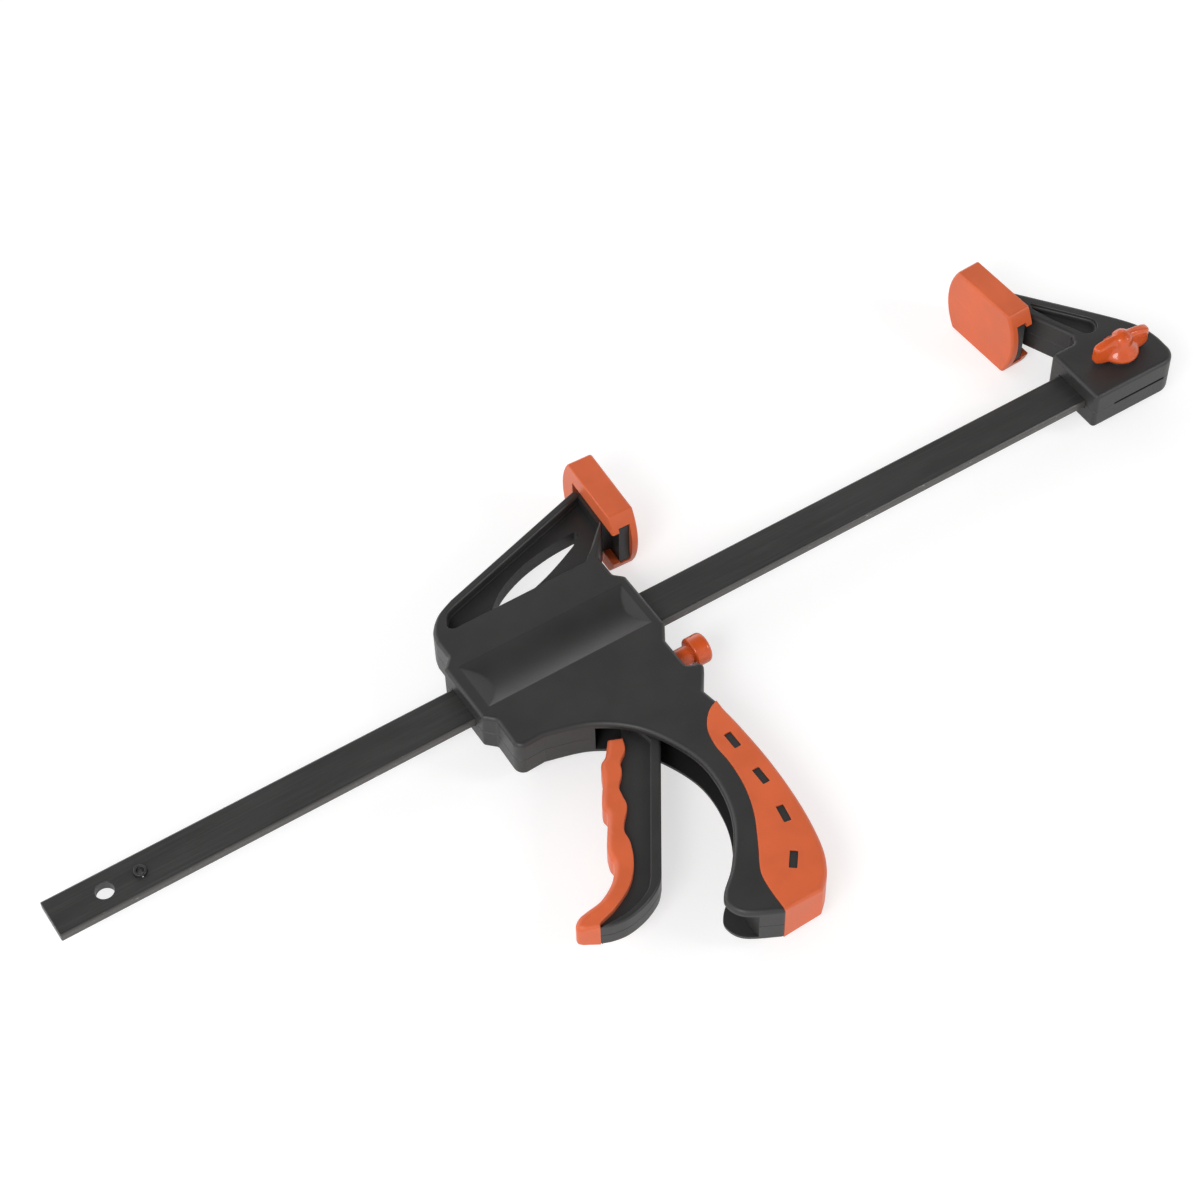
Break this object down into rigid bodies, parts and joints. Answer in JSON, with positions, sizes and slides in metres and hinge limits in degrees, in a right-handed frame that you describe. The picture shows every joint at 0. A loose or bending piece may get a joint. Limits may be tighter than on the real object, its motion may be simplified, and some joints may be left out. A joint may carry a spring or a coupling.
{
  "type": "quick release bar clamp",
  "caption": "One-handed bar clamp: a flat steel bar with a fixed jaw at one end and a squeeze-driven sliding body with trigger, release button and pads.",
  "frame": {"origin": "centre of the hanging hole, at the middle of the bar's thickness", "axes": "+X along the bar towards the fixed jaw, +Y from the bar towards the jaws' pads, +Z out of the knob side"},
  "size_m": [0.3513, 0.1515, 0.0274],
  "materials": {
    "dark_steel": "blackened, satin, worn at the edges",
    "black_plastic": "fine moulded texture",
    "orange_pad": "soft, semi-matte",
    "orange_rubber": "soft moulded grip",
    "orange_gloss": "glossy",
    "bright_steel": "zinc plated",
    "plate_steel": "hardened, dull",
    "spring_steel": "oiled wire"
  },
  "bodies": {
    "bar_and_fixed_jaw": {"bar": "dark_steel", "stop_pin": "dark_steel", "fixed_jaw": "black_plastic", "fixed_jaw_pad": "orange_pad", "knob_washer": "bright_steel", "captive_nut": "bright_steel"},
    "knob": {"wing_knob": "orange_gloss", "knob_screw": "bright_steel"},
    "sliding_body": {"housing_front": "black_plastic", "housing_back": "black_plastic", "housing_screws": "bright_steel", "handle_grip": "orange_rubber", "moving_jaw_pad": "orange_pad", "trigger_pin": "bright_steel", "drive_spring": "spring_steel", "brake_spring": "spring_steel"},
    "trigger": {"trigger_lever": "black_plastic", "trigger_grip": "orange_rubber"},
    "drive": {"drive_plate": "plate_steel"},
    "brake": {"brake_plate": "plate_steel"},
    "button": {"release_button": "orange_gloss"}
  },
  "joints": [
    {"name": "body_slide", "type": "slide", "parent": "bar_and_fixed_jaw", "child": "sliding_body", "axis": [1, 0, 0], "range_m": [-0.0925, 0.1255]},
    {"name": "knob_turn", "type": "hinge", "parent": "bar_and_fixed_jaw", "child": "knob", "pos_m": [0.3226, 0, 0], "axis": [0, 0, 1], "continuous": true},
    {"name": "trigger_squeeze", "type": "hinge", "parent": "sliding_body", "child": "trigger", "pos_m": [0.143, -0.022, 0], "axis": [0, 0, 1], "range_deg": [0, 18], "stiffness_Nm_per_rad": 0.05},
    {"name": "drive_slide", "type": "slide", "parent": "sliding_body", "child": "drive", "axis": [-1, 0, 0], "range_m": [0, 0.0036], "deforming": ["drive_spring"]},
    {"name": "button_press", "type": "slide", "parent": "sliding_body", "child": "button", "axis": [-1, 0, 0], "range_m": [0, 0.003], "stiffness_N_per_m": 60},
    {"name": "brake_tilt", "type": "hinge", "parent": "sliding_body", "child": "brake", "pos_m": [0.1511, 0.009, 0], "axis": [0, 0, -1], "range_deg": [0, 6.6], "deforming": ["brake_spring"]}
  ],
  "couplings": [
    {"joint": "drive_slide", "follows": "trigger_squeeze", "m_per_rad": 0.0108},
    {"joint": "brake_tilt", "follows": "button_press", "rad_per_m": 37.04}
  ]
}
